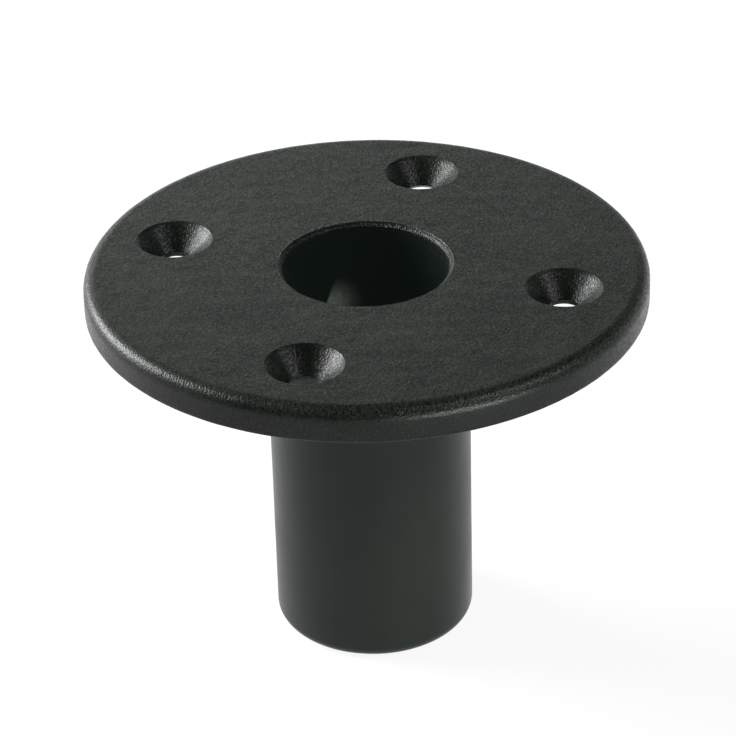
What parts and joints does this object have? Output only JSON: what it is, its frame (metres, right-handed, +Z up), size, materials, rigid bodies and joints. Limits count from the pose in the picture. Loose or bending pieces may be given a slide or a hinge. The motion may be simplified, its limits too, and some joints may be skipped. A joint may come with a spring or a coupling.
{
  "type": "flush-mount pole socket",
  "caption": "Flush-mount socket for an upright pole: round countersunk flange with a tube and end stop hanging below it.",
  "frame": {"origin": "on the pole's axis, in the deck plane that the flange's rim rests on", "axes": "+Z up along the pole's axis, out of the socket's mouth; two opposite screw holes lie on X and two on Y"},
  "size_m": [0.122, 0.122, 0.089],
  "materials": {
    "flange_paint": "fine textured black paint, satin",
    "tube_paint": "smooth black paint, satin",
    "weld_paint": "black paint over a rippled weld bead",
    "stop_paint": "black paint, satin"
  },
  "bodies": {
    "root": {"flange": "flange_paint", "socket_tube": "tube_paint", "flange_weld": "weld_paint", "end_stop": "stop_paint", "stop_weld": "weld_paint"}
  },
  "joints": []
}
